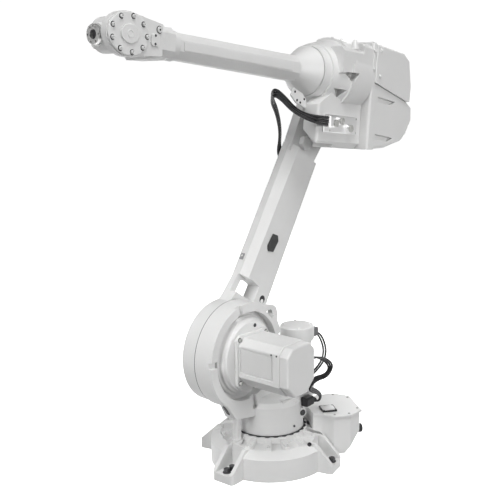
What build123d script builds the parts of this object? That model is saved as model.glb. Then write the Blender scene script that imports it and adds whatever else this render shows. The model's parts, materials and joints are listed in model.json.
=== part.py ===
from build123d import *
import os
from math import atan2, cos, degrees, radians, sin, tan

os.makedirs("parts", exist_ok=True)

# Six-axis industrial robot arm, millimetres and degrees.
# Every link is drawn straight (lower arm upright, upper arm level) about its own joint
# and then turned into the pose that the arm rests in.
AXIS2_X = 175.0        # axis 2 in front of axis 1
AXIS2_Z = 495.0        # axis 2 above the floor
LOWER_ARM = 1095.0     # axis 2 to axis 3
AXIS4_RISE = 175.0     # axis 4 line above axis 3
WRIST_REACH = 1241.0   # axis 3 to axis 5 along the arm
FLANGE_REACH = 74.0    # axis 5 to the tool face
REST_POSE = (37.6, -34.0, 28.0, 0.0, 6.0, 0.0)

SEAT = 0.3             # gap between pieces that are bolted together
TURN_GAP = 3.0         # gap between the outer faces at a turning joint
BEARING_GAP = 0.4      # gap at the bearing seat inside a turning joint
SWING_GAP = 8.0        # side gap between arms that pass each other

# Base
SKIRT_R = 248.0
SKIRT_H = 92.0
BEVEL_R = 208.0
BEVEL_H = 118.0
SEAT_R = 156.0
BASE_TOP = 148.0
RIB_COUNT = 16
RIB_W = 26.0
RIB_TURN = 4.0
FOOT_HOLE_X = 218.0
FOOT_HOLE_Y = 180.0
FOOT_INNER_X = 192.0   # second hole of each foot, nearer the middle
FOOT_INNER_Y = 158.0
FOOT_HOLE_R = 9.0
FOOT_W = 104.0
FOOT_WALL = 17.0
FOOT_END = 312.0
REAR_FOOT_END = 304.0
FOOT_H = 34.0
FOOT_ROUND = 14.0
POST_X = 158.0
POST_Y = 92.0
POST_W = 30.0
POST_FOOT = 130.0
POST_TOP = 222.0
BOX_TOP = 196.0
BOX_BOTTOM = 34.0
LID_T = 9.0
LID_LIP = 9.0

# Turret and axis 2
NECK_R = 141.0
NECK_TOP = 292.0
DECK_LOW = 250.0
RING_R = 214.0
RING_IN_R = 179.0
FRAME_FAR = -50.0
FRAME_NEAR = 36.0
RING_FLOOR = 2.0
NOTCH_W = 26.0
NOTCH_TURNS = (-77.0, -3.0, 100.0, 190.0)
LUG_OPENING = 48.0     # gap in the ring beside the lifting lug
BELL_STEPS = ((162.0, 18.0), (150.0, 32.0), (140.0, 48.0))
WEB_CORNER = (378.0, 430.0)   # slanted lower edge of the web
WEB_FOOT = (250.0, 252.0)
DECK_NEAR = 132.0
PLUG_BOSS_R = 20.0
PLUG_HEIGHT = 218.0
PLUG_ANGLE = 75.0
PLUG_ASIDE = 77.0
PLUG_REACH = 126.0
LUG_T = 24.0
LUG_TURN = -134.0      # place of the lug around axis 2
MOTOR_LIP = 9.0        # how far the motor flange stands out past the body
MOTOR_FLANGE_T = 14.0
MOTOR_SIDE = 172.0
MOTOR_HIGH = 96.0      # top and bottom of the motor from axis 2
MOTOR_LOW = -104.0
TOP_CHAMFER = 26.0
LOW_CHAMFER = 46.0
MOTOR_END = 300.0
MOTOR_CAP_T = 40.0
PANEL_DEEP = 5.0
PANEL_Y = (72.0, 224.0)
PANEL_Z = (-36.0, 56.0)
M1_X = -148.0
M1_Y = 32.0
M1_R = 60.0
M1_CAP_R = 72.0
M1_FLANGE_R = 67.0
M1_TOP = 550.0
M1_CAP_H = 60.0

# Lower arm
HUB_R = 208.0
ARM_NEAR = -58.0
ARM_T = 64.0
ARM_FRONT = 90.0
ARM_BACK = 98.0
ARM_FLARE = 6.0        # how much deeper the front edge is at the top
FLARE_Z = 290.0
ARM_CHAMFER = 32.0
STEP_Z = LOWER_ARM - 183.0
STEP_IN = 20.0
ELBOW_R = 108.0

# Elbow housing
BODY_FAR = ARM_NEAR + SWING_GAP
BODY_R = 150.0
BAND_R = BODY_R + 3
BODY_FRONT = 62.0
BELL_END = 214.0
BELL_END_R = 104.0
BLOCK_NEAR = 96.0
BLOCK_FRONT = 234.0
BLOCK_LOW = -128.0
BLOCK_BEVEL = 24.0
BLOCK_FAR = 26.0
DRUM_R = 125.0
PAD_X = (60.0, 150.0)   # flat lifting pad on the near side
PAD_NEAR = 146.0
PAD_TOP = AXIS4_RISE + 0.69 * BODY_R
SHOULDER_FRONT = -8.0   # raised part of the near side, up to the covers
SHOULDER_TOP = 308.0
COVER_NEAR = 140.0
LOW_COVER_NEAR = 131.0
FLANGE_BACK = -104.0
FLANGE_FRONT = -76.0
FLANGE_LEAN = 22.0     # how far the flange runs back at its foot

# Upper arm and wrist
TUBE_R = 50.0
TUBE_TIP_R = 45.0
TUBE_START = 318.0
TUBE_END = WRIST_REACH - 262.0
WRIST_W = 88.0
COVER_T = 8.0
NECK_W = 74.0
NECK_HALF_H = 50.0
CHEEK_INNER = 54.0     # inner face of the near cheek
CHEEK_X = 88.0
CHEEK_Z = 70.0
FAR_INNER = -46.0      # inner face of the smaller far cheek
FAR_OUTER = -70.0
FAR_X = 28.0
FAR_Z = 44.0
FORK_FLOOR = 104.0
TILT_FAR_GAP = 4.0     # side gaps between the tilting unit and the cheeks
TILT_NEAR_GAP = 26.0
TILT_R = 58.0
TILT_HUB_R = 40.0
FAR_HUB_R = 26.0
NOSE_R = 44.0
FLANGE_R = 31.5
FLANGE_T = 14.0
TOOL_PCD = 50.0
TOOL_HOLES = 6
TOOL_HOLE_R = 3.3
TOOL_BORE_R = 15.75
DOWEL_R = 3.0

AXIS2 = (AXIS2_X, 0, AXIS2_Z)
AXIS3 = (AXIS2_X, 0, AXIS2_Z + LOWER_ARM)
AXIS4 = (AXIS2_X, 0, AXIS2_Z + LOWER_ARM + AXIS4_RISE)
WRIST = (AXIS2_X + WRIST_REACH, 0, AXIS2_Z + LOWER_ARM + AXIS4_RISE)
JOINTS = (
    Axis((0, 0, 0), (0, 0, 1)),
    Axis(AXIS2, (0, 1, 0)),
    Axis(AXIS3, (0, 1, 0)),
    Axis(AXIS4, (1, 0, 0)),
    Axis(WRIST, (0, 1, 0)),
    Axis(WRIST, (1, 0, 0)),
)
LINKS = {"base": 0, "turret": 1, "lower": 2, "elbow": 3, "upper": 4, "tilt": 5, "tool": 6}
ORIGINS = {
    "base": (0, 0, 0),
    "turret": (0, 0, 0),
    "lower": AXIS2,
    "elbow": AXIS3,
    "upper": AXIS4,
    "tilt": WRIST,
    "tool": WRIST,
}


def save(name, shape, link):
    """Turn a piece drawn on its straight link into the rest pose and write it."""
    shape = shape.moved(Location(ORIGINS[link]))
    for number in reversed(range(LINKS[link])):
        shape = shape.rotate(JOINTS[number], REST_POSE[number])
    export_step(shape, f"parts/{name}.step")


def rod(axis, radius, start, end, at=(0, 0)):
    """Cylinder along X, Y or Z; `at` gives its two other coordinates in order."""
    length = end - start
    if axis == "x":
        plane = Plane(origin=(start, at[0], at[1]), x_dir=(0, 1, 0), z_dir=(1, 0, 0))
    elif axis == "y":
        plane = Plane(origin=(at[0], start, at[1]), x_dir=(1, 0, 0), z_dir=(0, 1, 0))
    else:
        plane = Plane(origin=(at[0], at[1], start), x_dir=(1, 0, 0), z_dir=(0, 0, 1))
    return Solid.make_cylinder(radius, length, plane)


def taper(axis, r0, r1, start, end, at=(0, 0)):
    """Cone frustum along X, Y or Z."""
    length = end - start
    if axis == "x":
        plane = Plane(origin=(start, at[0], at[1]), x_dir=(0, 1, 0), z_dir=(1, 0, 0))
    elif axis == "y":
        plane = Plane(origin=(at[0], start, at[1]), x_dir=(1, 0, 0), z_dir=(0, 1, 0))
    else:
        plane = Plane(origin=(at[0], at[1], start), x_dir=(1, 0, 0), z_dir=(0, 0, 1))
    return Solid.make_cone(r0, r1, length, plane)


def block(x, y, z):
    """Box between pairs of limits."""
    return Solid.make_box(x[1] - x[0], y[1] - y[0], z[1] - z[0], Plane(origin=(x[0], y[0], z[0])))


def slab(points, y):
    """Outline in X and Z, pulled along Y between two limits."""
    wire = Wire.make_polygon([(px, y[0], pz) for px, pz in points], close=True)
    return Solid.extrude(Face(wire), Vector(0, y[1] - y[0], 0))


def plate(points, z):
    """Outline in X and Y, pulled along Z between two limits."""
    wire = Wire.make_polygon([(px, py, z[0]) for px, py in points], close=True)
    return Solid.extrude(Face(wire), Vector(0, 0, z[1] - z[0]))


def section(points, x):
    """Outline in Y and Z, pulled along X between two limits."""
    wire = Wire.make_polygon([(x[0], py, pz) for py, pz in points], close=True)
    return Solid.extrude(Face(wire), Vector(x[1] - x[0], 0, 0))


def turned(points, axis):
    """Profile of radius and height turned about Z, or about Y with heights along Y."""
    if axis == "z":
        wire = Wire.make_polygon([(r, 0, h) for r, h in points], close=True)
        return Solid.revolve(Face(wire), 360, Axis.Z)
    wire = Wire.make_polygon([(r, h, 0) for r, h in points], close=True)
    return Solid.revolve(Face(wire), 360, Axis.Y)


def softened(shape, size, chosen):
    """Round the chosen edges."""
    edges = [edge for edge in shape.edges() if chosen(edge)]
    return fillet(edges, size)


def one(shape):
    """The single solid of a joined shape."""
    solids = shape.solids()
    return max(solids, key=lambda solid: solid.volume)


def hexagon(across, y, x, z, turn=0.0):
    """Six-sided boss along Y."""
    radius = across / 2 / cos(radians(30))
    points = []
    for k in range(6):
        angle = radians(60 * k + turn)
        points.append((x + radius * cos(angle), z + radius * sin(angle)))
    return slab(points, y)


def cable(points, radius):
    """Round cable along straight runs joined by tangent bends, as wide as the runs allow."""
    places = [Vector(*point) for point in points]
    bends = []
    for before, here, after in zip(places, places[1:], places[2:]):
        turn = (here - before).get_angle(after - here)
        shorter = min((here - before).length, (after - here).length)
        bends.append(0.45 * shorter / tan(radians(turn / 2)))
    path = FilletPolyline(*places, radius=bends)
    print("bends", " ".join(f"{bend:.0f}" for bend in bends), "length", round(path.length))
    ring = Plane(origin=path @ 0, z_dir=path % 0) * Circle(radius)
    return sweep(ring, path=path).solid()


# Base casting: round skirt, bevelled and ribbed top, four diagonal feet
def base_casting():
    body = turned(
        [(0, 0), (SKIRT_R, 0), (SKIRT_R, SKIRT_H), (BEVEL_R, BEVEL_H),
         (BEVEL_R - 6, BEVEL_H - 12), (SEAT_R, 122), (SEAT_R, BASE_TOP), (0, BASE_TOP)], "z")
    rib = slab([(SEAT_R - 6, 100), (SEAT_R - 6, 142), (BEVEL_R + 2, BEVEL_H + 7), (BEVEL_R + 2, 100)],
               (-RIB_W / 2, RIB_W / 2))
    for k in range(RIB_COUNT):
        body = body + rib.rotate(Axis.Z, 360 / RIB_COUNT * (k + 0.5) - RIB_TURN)
    turn = degrees(atan2(FOOT_HOLE_Y, FOOT_HOLE_X))
    half = FOOT_W / 2
    pocket = block((206, FOOT_END + 20), (-half + FOOT_WALL, half - FOOT_WALL), (FOOT_H, BEVEL_H + 60))
    feet = ((turn, FOOT_END), (180 - turn, REAR_FOOT_END),
            (180 + turn, REAR_FOOT_END), (360 - turn, FOOT_END))
    for angle, end in feet:
        foot = slab([(150, 0), (end, 0), (end, FOOT_H + 4), (228, BEVEL_H), (150, BEVEL_H)], (-half, half))
        foot = softened(foot, FOOT_ROUND, lambda edge: edge.center().X > end - 1
                        and abs(edge.center().Y) > half - 1 and edge.center().Z < FOOT_H)
        body = body + foot.rotate(Axis.Z, angle)
    for angle, end in feet:
        body = body - pocket.rotate(Axis.Z, angle)
    for x, y in ((FOOT_HOLE_X, FOOT_HOLE_Y), (FOOT_INNER_X, FOOT_INNER_Y)):
        for place in ((x, y), (-x, y), (-x, -y), (x, -y)):
            body = body - rod("z", FOOT_HOLE_R, -5, FOOT_H + 5, place)
    body = body + rod("z", POST_W / 2 + 8, 60, POST_FOOT, (POST_X, POST_Y))
    body = body - rod("z", POST_W / 2 + 10, POST_FOOT, 200, (POST_X, POST_Y))
    return one(body)


def box_outline(grow=0.0):
    half = 118 + grow
    return [(-166, -84), (-206, -half + 28), (-244, -half), (-318, -half), (-368 - grow, -84),
            (-368 - grow, 84), (-318, half), (-244, half), (-206, half - 28), (-166, 84)]


# Rear connection box with its lid, cover and plug
def rear_box():
    body = plate(box_outline(), (BOX_BOTTOM, BOX_TOP))
    body = body - slab([(-262, 0), (-400, 0), (-400, 118), (-372, 118)], (-150, 150))
    room = turned([(0, -5), (SKIRT_R + SEAT, -5), (SKIRT_R + SEAT, SKIRT_H), (BEVEL_R + 3, BEVEL_H + 8),
                   (SEAT_R + 8, 143), (SEAT_R + 8, 300), (0, 300)], "z")
    return one(body - room)


def box_lid():
    lid = plate(box_outline(LID_LIP), (BOX_TOP + SEAT, BOX_TOP + SEAT + LID_T))
    return one(lid - rod("z", SEAT_R + 6, 0, 300))


LID_TOP = BOX_TOP + SEAT + LID_T
save("base_casting", base_casting(), "base")
save("rear_box", rear_box(), "base")
save("rear_box_lid", box_lid(), "base")
save("lid_cover", block((-271, -209), (18, 80), (LID_TOP + SEAT, LID_TOP + SEAT + 7)), "base")
save("rear_plug", rod("x", 19, -386, -368 - SEAT, (52, 112)), "base")
post = plate([(-POST_W / 2, -POST_W / 2), (POST_W / 2, -POST_W / 2), (POST_W / 2, POST_W / 2),
              (-POST_W / 2, POST_W / 2)], (POST_FOOT + SEAT, POST_TOP))
post = softened(post, 9, lambda edge: edge.length > 60)
post = post.rotate(Axis.Z, degrees(atan2(POST_Y, POST_X))).moved(Location((POST_X, POST_Y, 0)))
save("stop_post", post, "base")


# Turret casting: neck, deck, slanted web, lifting lug and the ring that carries axis 2
def lifting_lug():
    lug = slab([(80, 668), (30, 669), (-16, 660), (-34, 646), (-41, 626), (-42, 560), (-10, 540), (60, 600)],
               (-LUG_T / 2, LUG_T / 2))
    return lug - slab([(60, 636), (20, 646), (2, 646), (-6, 638), (-9, 604), (40, 590)], (-LUG_T, LUG_T))


def turret_casting():
    near, far = FRAME_NEAR, FRAME_FAR
    neck = rod("z", NECK_R, BASE_TOP + TURN_GAP, NECK_TOP - 28)
    web = slab([(385, 480), WEB_CORNER, WEB_FOOT, (150, 234), (-74, 234), (-74, NECK_TOP), (-52, 360),
                (-36, 470)], (far, near))
    web = web - plate([(150, far - 10), (300, far - 10), (300, -5)], (200, 330))
    ring = rod("y", RING_R, far, near, (AXIS2_X, AXIS2_Z))
    deck = plate([(-222, -44), (-222, 62), (-176, 102), (-90, DECK_NEAR), (-30, DECK_NEAR),
                  (60, 120), (60, -46)], (DECK_LOW, NECK_TOP))
    boss = rod("x", PLUG_BOSS_R, PLUG_REACH - 46, PLUG_REACH, (PLUG_ASIDE, PLUG_HEIGHT))
    boss = boss.rotate(Axis.Z, PLUG_ANGLE)
    crown = turned([(0, DECK_LOW), (NECK_R, DECK_LOW), (NECK_R, 262), (130, 284), (108, 298), (0, 304)], "z")
    crown = crown - rod("z", M1_CAP_R + 4, 0, 2 * NECK_TOP, (M1_X, M1_Y))
    bearing = rod("z", NECK_R - 20, BASE_TOP + BEARING_GAP, BASE_TOP + 20)
    opening = block((RING_IN_R + 13, RING_R + 26), (far - 5, near + 5), (-LUG_OPENING / 2, LUG_OPENING / 2))
    ring = ring - opening.rotate(Axis.Y, LUG_TURN).moved(Location(AXIS2))
    body = neck + web + ring + deck + bearing + boss + crown
    body = body + lifting_lug()
    body = body - rod("y", RING_IN_R, RING_FLOOR, near + 5, (AXIS2_X, AXIS2_Z))
    notch = block((RING_IN_R - 8, RING_R + 20), (near - 14, near + 5), (-NOTCH_W / 2, NOTCH_W / 2))
    for angle in NOTCH_TURNS:
        body = body - notch.rotate(Axis.Y, angle).moved(Location(AXIS2))
    return one(body)


# Axis 2 drive: stepped bell, square flange, motor body and end cap
def bell_flange():
    (r0, h0), (r1, h1), (r2, h2) = BELL_STEPS
    low = RING_FLOOR + SEAT
    bell = turned([(0, low), (r0, low), (r0, h0), (r1 + 4, h0 + 3), (r1, h1), (r2 + 4, h1 + 4),
                   (r2, h2), (0, h2)], "y")
    return bell.moved(Location(AXIS2))


def motor_outline(grow, top_cut, low_cut):
    """Eight-sided motor outline with its larger bevels at the bottom."""
    half, high, low = MOTOR_SIDE / 2 + grow, MOTOR_HIGH + grow, MOTOR_LOW - grow
    return [(half, low + low_cut), (half, high - top_cut), (half - top_cut, high), (-half + top_cut, high),
            (-half, high - top_cut), (-half, low + low_cut), (-half + low_cut, low), (half - low_cut, low)]


BELL_TOP = BELL_STEPS[-1][1]
BODY_START = BELL_TOP + SEAT + MOTOR_FLANGE_T
CAP_START = MOTOR_END - MOTOR_CAP_T


def motor_body():
    body = slab(motor_outline(0, TOP_CHAMFER, LOW_CHAMFER), (BODY_START + SEAT, CAP_START))
    half = MOTOR_SIDE / 2
    for side in (1, -1):
        inner = half - PANEL_DEEP
        limits = (inner, half + 5) if side > 0 else (-half - 5, -inner)
        body = body - block(limits, (PANEL_Y[0] - 4, PANEL_Y[1] + 4), (PANEL_Z[0] - 4, PANEL_Z[1] + 4))
    return one(body).moved(Location(AXIS2))


def motor_panel():
    half = MOTOR_SIDE / 2
    panel = block((half - PANEL_DEEP + SEAT, half - 1.5), PANEL_Y, PANEL_Z)
    return panel.moved(Location(AXIS2))


def motor_cap():
    cap = slab(motor_outline(-1.5, TOP_CHAMFER + 4, LOW_CHAMFER + 2), (CAP_START + SEAT, MOTOR_END))
    ends = cap.faces().sort_by(Axis.Y)[-1].edges()
    return chamfer(ends, 5).moved(Location(AXIS2))


save("turret_casting", turret_casting(), "turret")
save("axis2_bell_flange", bell_flange(), "turret")
save("axis2_motor_flange",
     slab(motor_outline(MOTOR_LIP, 18, 20), (BELL_TOP + SEAT, BODY_START)).moved(Location(AXIS2)), "turret")
save("axis2_motor_body", motor_body(), "turret")
save("axis2_motor_panel", motor_panel(), "turret")
save("axis2_motor_cap", motor_cap(), "turret")

M1 = (M1_X, M1_Y)
save("axis1_motor_flange", rod("z", M1_FLANGE_R, NECK_TOP + SEAT, NECK_TOP + 22, M1), "turret")
save("axis1_motor_body", rod("z", M1_R, NECK_TOP + 22 + SEAT, M1_TOP - M1_CAP_H, M1), "turret")
cap = rod("z", M1_CAP_R, M1_TOP - M1_CAP_H + SEAT, M1_TOP, M1)
save("axis1_motor_cap", chamfer(cap.faces().sort_by(Axis.Z)[-1].edges(), 4), "turret")
CONN_X = M1_X - M1_CAP_R
CONN_BACK = CONN_X - 26
connector = block((CONN_BACK, M1_X), (M1_Y - 4, M1_Y + 40), (M1_TOP - 62, M1_TOP - 26))
save("axis1_connector", connector - rod("z", M1_CAP_R + SEAT, 0, 2 * M1_TOP, M1), "turret")
MOTOR_BACK = AXIS2_X - MOTOR_SIDE / 2
save("axis2_connector", block((MOTOR_BACK - 30, MOTOR_BACK - SEAT),
                              (CAP_START - 56, CAP_START - 20), (AXIS2_Z - 20, AXIS2_Z + 20)), "turret")
GLAND_X = -84.0
gland = block((GLAND_X, GLAND_X + 44), (DECK_NEAR + SEAT, DECK_NEAR + 38), (DECK_LOW - 4, NECK_TOP - 8))
gland = chamfer(gland.edges().filter_by(Axis.X), 6)
save("cable_gland", gland - rod("z", NECK_R + SEAT, 0, 2 * NECK_TOP), "turret")
plug = rod("x", PLUG_BOSS_R - 7, PLUG_REACH + SEAT, PLUG_REACH + 3, (PLUG_ASIDE, PLUG_HEIGHT))
save("neck_boss_plug", plug.rotate(Axis.Z, PLUG_ANGLE), "turret")
slope = Vector(WEB_CORNER[0] - WEB_FOOT[0], 0, WEB_CORNER[1] - WEB_FOOT[1]).normalized()
outward = Vector(slope.Z, 0, -slope.X)
corner = Vector(WEB_FOOT[0], 19, WEB_FOOT[1]) + slope * 24 + outward * SEAT
web_plug = Solid.make_box(57, 16, 3, Plane(origin=corner, x_dir=slope, z_dir=outward))
save("web_plug", chamfer(web_plug.edges().filter_by(lambda edge: edge.length < 4), 6), "turret")

# Motor cables: the axis 2 leads loop behind the motor and down to the gland
LEAD_R = 4.0
leads = []
for k in (-1, 0, 1):
    route = [(MOTOR_BACK - 30 - SEAT, 222 + 10 * k, 488), (-10, 222 + 10 * k, 486),
             (-92, 221 + 9 * k, 450 + 5 * k), (-136 - 4 * k, 219 + 7 * k, 408 + 4 * k),
             (-104, 216 + 6 * k, 376 - 4 * k), (-30, 210 + 5 * k, 382 - 6 * k),
             (0, 198 + 4 * k, 350 - 8 * k), (-52, 184 + 4 * k, 322 - 9 * k),
             (-112, 170 + 3 * k, 292 - 8 * k), (-140 + 4 * k, 163, 264 - 6 * k), (-132 + 8 * k, 156, 242),
             (-110, 152, 260 + 9 * k), (GLAND_X - SEAT, 152, 261 + 9 * k)]
    leads.append(cable(route, LEAD_R))
save("axis2_cables", Compound(leads), "turret")
leads = []
for k in (0, 1):
    route = [(CONN_BACK - SEAT, 38 + 18 * k, 495), (-276, 39 + 18 * k, 494), (-298, 62 + 14 * k, 428),
             (-266, 84 + 12 * k, 386), (-192, 108 + 11 * k, 368), (-114 - 4 * k, 114 + 11 * k, 348),
             (-74 - 12 * k, 110 + 11 * k, 326), (-74 - 12 * k, 109 + 11 * k, NECK_TOP + SEAT)]
    leads.append(cable(route, LEAD_R))
save("axis1_cables", Compound(leads), "turret")


# Lower arm: hub disc, two webs with a window, chamfered beam and elbow hub
def lower_arm():
    far, near = ARM_NEAR - ARM_T, ARM_NEAR
    hub = rod("y", HUB_R, far, FRAME_FAR - TURN_GAP)
    beam = slab([(150, 80), (104, 200), (ARM_FRONT, FLARE_Z), (ARM_FRONT + ARM_FLARE, STEP_Z),
                 (-ARM_BACK + 14, STEP_Z), (-ARM_BACK, 470), (-ARM_BACK - 8, 250), (-150, 80)], (far, near))
    corner = [(ARM_FRONT + 30, near + 1), (ARM_FRONT + 30, near - 60), (ARM_FRONT + 7, near - ARM_CHAMFER),
              (ARM_FRONT - ARM_CHAMFER, near + 1)]
    beam = beam - plate(corner, (262, STEP_Z + 2))
    tongue = slab([(ARM_FRONT, STEP_Z - 30), (ELBOW_R, LOWER_ARM - 20), (-ELBOW_R, LOWER_ARM - 20),
                   (-ARM_BACK + 14, STEP_Z - 30)], (far, near - STEP_IN))
    elbow = rod("y", ELBOW_R, far, near - STEP_IN, (0, LOWER_ARM))
    stub = rod("y", ELBOW_R - 22, near - STEP_IN - 5, BODY_FAR - BEARING_GAP, (0, LOWER_ARM))
    bearing = rod("y", HUB_R - 50, far + 10, FRAME_FAR - BEARING_GAP)
    body = beam + hub + tongue + elbow + stub + bearing
    window = slab([(-24, 226), (66, 226), (62, 282), (30, 300), (-24, 296)], (far - 5, near + 5))
    relief = slab([(20, 222), (150, 222), (150, 262), (90, 300), (20, 300)], (near - 34, near + 5))
    return one(body - window - relief)


def hexagon_plug():
    points = [(20, 520), (-14, 528), (-30, 508), (-24, 456), (10, 444), (26, 464)]
    return slab(points, (ARM_NEAR + SEAT, ARM_NEAR + 4))


save("lower_arm_casting", lower_arm(), "lower")
save("side_plug", hexagon_plug(), "lower")
PLUG_Z = 390.0
PLUG_X = ARM_FRONT + ARM_FLARE * (PLUG_Z - FLARE_Z) / (STEP_Z - FLARE_Z)
save("front_plug", block((PLUG_X + SEAT, PLUG_X + 5), (-114, -94), (PLUG_Z - 28, PLUG_Z)), "lower")
save("elbow_cap", hexagon(56, (ARM_NEAR - STEP_IN + SEAT, BODY_FAR - 5), 26, LOWER_ARM - 143, 20), "lower")
save("hub_cover", turned([(0, 0), (150, 0), (150, -8), (110, -20), (0, -20)], "y")
     .moved(Location((0, ARM_NEAR - ARM_T - SEAT, 0))), "lower")
save("elbow_cover", turned([(0, 0), (92, 0), (92, -8), (70, -16), (0, -16)], "y")
     .moved(Location((0, ARM_NEAR - ARM_T - SEAT, LOWER_ARM))), "lower")
CLAMP_Z = LOWER_ARM - 232.0
CLAMP_FRONT = 36.0
ARM_FAR = ARM_NEAR - ARM_T
clamp = block((CLAMP_FRONT - 38, CLAMP_FRONT), (ARM_FAR - 30, ARM_FAR - SEAT), (CLAMP_Z - 26, CLAMP_Z + 26))
save("arm_cable_clamp", chamfer(clamp.faces().sort_by(Axis.Y)[0].edges(), 5), "lower")


# Elbow housing: round body on axis 4, side block on axis 3, bell towards the tube
def housing():
    far = BODY_FAR
    body = rod("x", BODY_R, FLANGE_BACK + 30, BODY_FRONT, (0, AXIS4_RISE))
    band = rod("x", BAND_R, BODY_FRONT - 22, BODY_FRONT + 16, (0, AXIS4_RISE))
    bell = taper("x", BODY_R - 2, BELL_END_R + 14, BODY_FRONT, 176, (0, AXIS4_RISE))
    rim = taper("x", BELL_END_R + 8, BELL_END_R, 170, BELL_END, (0, AXIS4_RISE))
    round_part = body + band + bell + rim
    round_part = round_part - block((-300, 196), (-300, far), (-300, 600))
    side = slab([(BLOCK_FRONT, BLOCK_LOW + 20), (BLOCK_FRONT - 20, BLOCK_LOW), (FLANGE_FRONT, BLOCK_LOW),
                 (FLANGE_FRONT, 150), (60, 150), (150, 90), (BLOCK_FRONT, 40)], (BLOCK_FAR, BLOCK_NEAR))
    under = section([(BLOCK_FAR - 1, -62), (BLOCK_FAR - 1, -200), (BLOCK_NEAR - 10, -200),
                     (BLOCK_NEAR - 10, -114)], (DRUM_R - 25, BLOCK_FRONT + 10))
    side = side - under
    side = softened(side, 12, lambda edge: abs(edge.center().Y - BLOCK_NEAR) < 1
                    and edge.center().X > BLOCK_FRONT - 5)
    low_edge = section([(BLOCK_NEAR + 1, BLOCK_LOW + BLOCK_BEVEL), (BLOCK_NEAR + 1, BLOCK_LOW - 20),
                        (BLOCK_NEAR - BLOCK_BEVEL - 20, BLOCK_LOW - 20)], (-300, BLOCK_FRONT + 10))
    drum = rod("y", DRUM_R, far, BLOCK_NEAR - 20)
    drum = drum + block((FLANGE_FRONT, 60), (far, BLOCK_NEAR - 20), (BLOCK_LOW, 120))
    pad = section([(60, 150), (PAD_NEAR, 176), (PAD_NEAR, PAD_TOP - 16), (PAD_NEAR - 14, PAD_TOP),
                   (60, PAD_TOP)], PAD_X)
    ledge = section([(50, 164), (COVER_NEAR, 178), (COVER_NEAR, PAD_TOP - 14), (COVER_NEAR - 12, PAD_TOP),
                     (50, PAD_TOP)], (FLANGE_FRONT - 5, PAD_X[0] + 1))
    shoulder = section([(48, 200), (COVER_NEAR, 200), (COVER_NEAR, SHOULDER_TOP - 14),
                        (COVER_NEAR - 14, SHOULDER_TOP), (48, SHOULDER_TOP)], (FLANGE_FRONT - 5, SHOULDER_FRONT))
    shape = round_part + (side + drum - low_edge) + pad + ledge + shoulder
    shape = shape - slab([(120, 178), (36, 182), (70, 138)], (PAD_NEAR - 32, PAD_NEAR + 20))
    shape = shape - slab([(150, 112), (84, 108), (112, 76)], (82, PAD_NEAR + 20))
    return one(shape)


def clamp_side(out, height):
    """Place in front of the lower-arm clamp, seen from the elbow at rest."""
    bend = radians(REST_POSE[2])
    down = LOWER_ARM - height
    return (out * cos(bend) + down * sin(bend), ARM_NEAR - ARM_T - 17, out * sin(bend) - down * cos(bend))


def rear_cover():
    cover = slab([(FLANGE_BACK, 322), (-205, 316), (-335, 310), (-386, 282), (-408, 198), (-404, 100),
                  (-390, 98 + SEAT), (FLANGE_BACK, 160 + SEAT)], (BODY_FAR, COVER_NEAR))
    return softened(cover, 12, lambda edge: abs(edge.center().Y - COVER_NEAR) < 1 and edge.center().Z > 170)


def low_cover():
    cover = slab([(FLANGE_BACK, 159), (-392, 97), (-450, 70), (-456, 20), (-414, -48), (-374, -80), (-240, -116),
                  (FLANGE_BACK - FLANGE_LEAN, -126)], (BODY_FAR, LOW_COVER_NEAR))
    cover = softened(cover, 18, lambda edge: abs(edge.center().Y - LOW_COVER_NEAR) < 1 and edge.center().Z < 60)
    for z in (75, -85):
        slot = slab([(FLANGE_BACK - 46, z), (-262, z), (-298, z + 16), (FLANGE_BACK - 46, z + 26)],
                    (LOW_COVER_NEAR - 16, LOW_COVER_NEAR + 5))
        cover = cover - slot
    return one(cover)


def cover_flange():
    top = AXIS4_RISE + BODY_R + 2
    back, front = FLANGE_BACK + SEAT, FLANGE_FRONT - SEAT
    frame = slab([(back - FLANGE_LEAN, BLOCK_LOW), (front, BLOCK_LOW), (front, top), (back, top), (back, 159)],
                 (BODY_FAR, COVER_NEAR))
    frame = softened(frame, 12, lambda edge: abs(edge.center().Y - COVER_NEAR) < 1 and edge.center().Z > top - 1)
    return softened(frame, 10, lambda edge: abs(edge.center().Y - COVER_NEAR) < 1
                    and edge.center().X > front - 1 and edge.center().Z < top - 1)


save("elbow_housing", housing() - block((-300, FLANGE_FRONT), (-300, 300), (-300, 600)), "elbow")
save("cover_flange", cover_flange(), "elbow")
save("rear_cover", rear_cover(), "elbow")
save("low_cover", low_cover(), "elbow")
PLATE_Y = BLOCK_NEAR + SEAT
HOOD_FRONT = 196.0
save("connector_plate", block((-40, HOOD_FRONT + 4), (PLATE_Y, PLATE_Y + 8), (-68, 4)), "elbow")
hood = block((HOOD_FRONT - 30, HOOD_FRONT), (PLATE_Y + 8 + SEAT, PLATE_Y + 34), (-50, 0))
save("connector_hood", chamfer(hood.faces().sort_by(Axis.Y)[-1].edges(), 4), "elbow")
sockets = [rod("y", 15, PLATE_Y + 8 + SEAT, PLATE_Y + 30, (x, z)) for x, z in ((142, -31), (100, -20), (32, -46))]
save("connectors", Compound(sockets), "elbow")
LUG_PLACE = (34.0, 0.77 * BODY_R)
lug = taper("z", 21, 7, PAD_TOP + SEAT, PAD_TOP + 40, LUG_PLACE)
save("top_lug", one(lug - rod("x", BAND_R + SEAT, -200, 200, (0, AXIS4_RISE))), "elbow")
BRACKET_X = BLOCK_FRONT + SEAT
save("cable_bracket", slab([(BRACKET_X, 20), (BRACKET_X, 58), (262, 80), (322, 98), (338, 66), (300, 38),
                            (262, 30)], (26, 34)), "elbow")

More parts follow.
